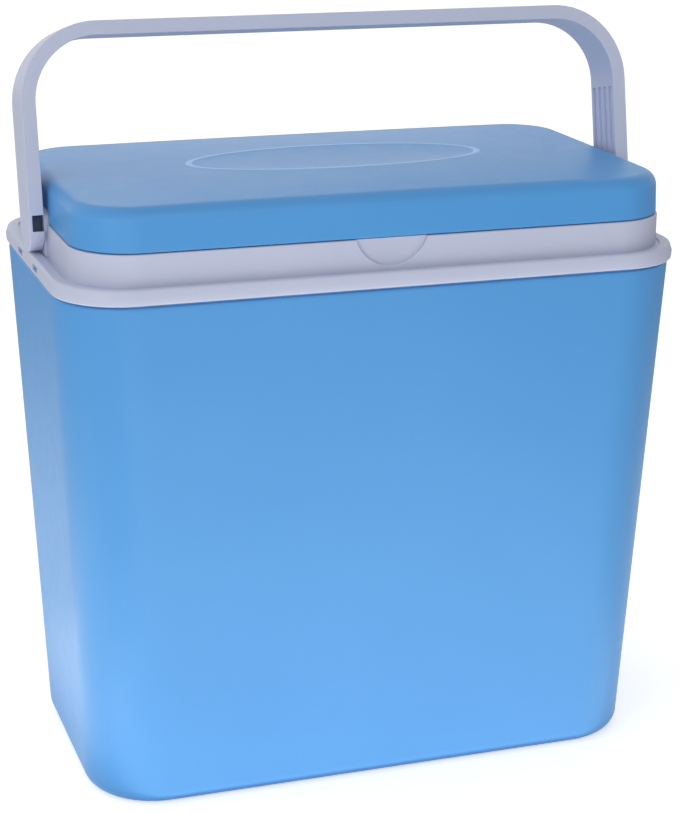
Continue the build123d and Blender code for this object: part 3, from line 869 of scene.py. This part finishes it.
def cell_foam(name):
    """Rigid foam of fine cells."""
    material, tree, shader = new_material(name)
    cells = add_node(tree, "TexVoronoi", Vector=object_place(tree), Scale=CELL_SCALE).outputs["Distance"]
    pits = add_node(tree, "Bump", Height=cells, Strength=CELL_STRENGTH, Distance=CELL_DEPTH)
    tone = spread(tree, cells, 0, CELL_EDGE, 0, 1)
    set_inputs(tree, shader, Base_Color=mix(tree, tone, FOAM_DARK, FOAM_LIGHT), Roughness=0.85,
               Normal=pits.outputs["Normal"])
    return material


BLUE = moulded_plastic("blue_shell_plastic", colour=(0.072, 0.298, 0.650), deep=(0.068, 0.290, 0.637),
                       edge_wear_and_highlight=(0.26, 0.52, 0.85), roughness=0.40)
LID_BLUE = moulded_plastic("blue_lid_plastic", colour=(0.070, 0.305, 0.670), deep=(0.066, 0.296, 0.657),
                           edge_wear_and_highlight=(0.24, 0.49, 0.82), roughness=0.40)
# The bead's lower roughness is real. Its paler colour is a painted highlight that makes the bead read as a
# light line.
BEAD_HIGHLIGHT_BLUE = moulded_plastic("polished_bead_with_painted_highlight", colour=(0.20, 0.47, 0.85), deep=(0.19, 0.46, 0.84),
                            edge_wear_and_highlight=(0.28, 0.54, 0.87), roughness=0.32)
PALE = moulded_plastic("pale_rim_plastic", colour=(0.505, 0.540, 0.688), deep=(0.493, 0.528, 0.674),
                       edge_wear_and_highlight=(0.68, 0.72, 0.85), roughness=0.42)
STRAP = moulded_plastic("pale_handle_plastic", colour=(0.525, 0.568, 0.728), deep=(0.512, 0.555, 0.714),
                        edge_wear_and_highlight=(0.66, 0.70, 0.84), roughness=0.42)
# A dark painted shade for the inside of the handle's pockets. It stands for the shade deep in them and is no
# plastic of its own.
POCKET_SHADE = moulded_plastic("handle_pocket_painted_shade", colour=(0.070, 0.125, 0.225), deep=(0.064, 0.117, 0.212),
                         edge_wear_and_highlight=(0.16, 0.24, 0.36), roughness=0.45)
FOAM = cell_foam("rigid_foam")
PACK = moulded_plastic("ice_pack_plastic", colour=(0.74, 0.80, 0.88), deep=(0.70, 0.77, 0.86),
                       edge_wear_and_highlight=(0.85, 0.90, 0.95), roughness=0.30)
STOPPER = moulded_plastic("stopper_plastic", colour=(0.05, 0.16, 0.42), deep=(0.045, 0.15, 0.40),
                          edge_wear_and_highlight=(0.2, 0.35, 0.6), roughness=0.35)


def paint_nodes():
    """Gives every CAD node that no piece stands for its own finish."""
    finishes = {"ice_pack": PACK, "stopper": STOPPER, "body_insulation": FOAM, "lid_insulation": FOAM,
                "lid_liner": PALE}
    for name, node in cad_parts.items():
        for start, material in finishes.items():
            if name.startswith(start):
                node.data.materials.clear()
                node.data.materials.append(material)


# ---- Stage, light and camera ---------------------------------------------------------------

CAMERA_PLACE = (-0.41470, -1.24105, 0.63019)
CAMERA_YAW = 0.3257
CAMERA_PITCH = 0.3054
CAMERA_ROLL = 0.0078
CAMERA_LENS = 92.69              # millimetres, as the sensor
CAMERA_SENSOR = 36
WHITE = (1.0, 1.0, 1.0)
FLOOR_SIZE = 9.0
FLOOR_COLOUR = (0.90, 0.90, 0.90)
FAR_FLOOR_COLOUR = (0.30, 0.30, 0.30)
LIT_FLOOR = (0.50, 1.15)         # from the object's middle, where the lit floor starts and ends falling off
FLOOR_LIFT = 0.55
LIGHT_LEVEL = 0.47
LIGHT_FROM = (-0.40, 0.09, 0.17)   # direction, with its length as the strength's swing
LAMP_OVER_FLOOR = 0.004


def seen_share(tree):
    """1 for what the camera sees directly, in a reflection or through something, 0 for light itself."""
    path = add_node(tree, "LightPath").outputs
    mirrored = calculate(tree, "MAXIMUM", path["Is Camera Ray"], path["Is Glossy Ray"])
    return calculate(tree, "MAXIMUM", mirrored, path["Is Transmission Ray"])


def mirrored_distance(tree):
    """0 near the object and for a direct view, 1 for a mirror image of the floor's far part."""
    reach = calculate(tree, "LENGTH", object_place(tree), kind="VectorMath")
    far = spread(tree, reach, *LIT_FLOOR, 0, 1)
    return calculate(tree, "MULTIPLY", far, add_node(tree, "LightPath").outputs["Is Glossy Ray"])


def make_floor():
    """Matt pale floor. What is seen of it is lifted to white, under the object's own shadow."""
    deselect_all()
    bpy.ops.mesh.primitive_plane_add(size=FLOOR_SIZE)
    floor = bpy.context.object
    floor.name = floor.data.name = "floor"
    material, tree, shader = new_material("floor_paint")
    far = mirrored_distance(tree)
    set_inputs(tree, shader, Base_Color=mix(tree, far, FLOOR_COLOUR, FAR_FLOOR_COLOUR), Roughness=0.9,
               Specular_IOR_Level=0.0, Emission_Color=mix(tree, far, WHITE, FAR_FLOOR_COLOUR),
               Emission_Strength=spread(tree, seen_share(tree), 0, 1, 0, FLOOR_LIFT))
    floor.data.materials.append(material)


def make_world():
    """White where it is seen. As light it is soft, and stronger from the left."""
    world = bpy.data.worlds.new("studio")
    bpy.context.scene.world = world
    world.use_nodes = True
    tree = world.node_tree
    direction = add_node(tree, "TexCoord").outputs["Generated"]
    aim = calculate(tree, "DOT_PRODUCT", direction, LIGHT_FROM, kind="VectorMath")
    light = calculate(tree, "ADD", aim, LIGHT_LEVEL)
    set_inputs(tree, tree.nodes["Background"], Color=WHITE,
               Strength=mix(tree, seen_share(tree), light, 1.0, kind="FLOAT"))


def add_softbox(name, place, target, size, power):
    """A square area lamp that looks from one point at another."""
    bpy.ops.object.light_add(type="AREA", location=place)
    lamp = bpy.context.object
    lamp.name = name
    lamp.data.size = size
    lamp.data.energy = power
    lamp.rotation_euler = (Vector(place) - Vector(target)).to_track_quat("Z", "Y").to_euler()
    lamp.visible_camera = False


def add_table_glow(name, x, y, size, power):
    """A lamp that lies on the table and looks straight up, as light that the table throws back."""
    add_softbox(name, (x, y, LAMP_OVER_FLOOR), (x, y, 1), size, power)


def add_camera():
    turn = Matrix.Rotation(-CAMERA_YAW, 4, "Z") @ Matrix.Rotation(math.pi / 2 - CAMERA_PITCH, 4, "X")
    turn = turn @ Matrix.Rotation(CAMERA_ROLL, 4, "Z")
    bpy.ops.object.camera_add(location=CAMERA_PLACE, rotation=turn.to_euler())
    camera = bpy.context.object
    camera.data.sensor_width = CAMERA_SENSOR
    camera.data.lens = CAMERA_LENS
    bpy.context.scene.camera = camera


# ---- Everything together -------------------------------------------------------------------

make_shell(BLUE)
make_rim(PALE)
make_handle(STRAP)
make_lid(LID_BLUE)
paint_nodes()

make_floor()
make_world()
add_softbox("high_front", place=(-0.10, -1.20, 1.10), target=(0, -0.1, 0.25), size=0.8, power=2.8)
add_softbox("front_left", place=(-1.00, -0.90, 0.55), target=(-0.15, -0.1, 0.3), size=0.4, power=1.9)
add_softbox("front_right", place=(1.00, -1.10, 0.50), target=(0.15, -0.1, 0.3), size=0.6, power=0.5)
add_softbox("low_front", place=(-0.34, -1.05, 0.14), target=(-0.12, -0.1, 0.33), size=0.25, power=0.35)
add_softbox("high_back", place=(0, 0.90, 1.10), target=(0, 0, 0.38), size=0.9, power=0.7)
add_softbox("low_back", place=(0.25, 1.30, 0.80), target=(0, 0, 0.38), size=0.8, power=0.35)
add_table_glow("front_table_glow", x=0, y=-0.41, size=0.62, power=1.35)
add_table_glow("left_table_glow", x=-0.42, y=-0.02, size=0.4, power=0.4)
add_camera()
bpy.context.scene.view_settings.view_transform = "Standard"
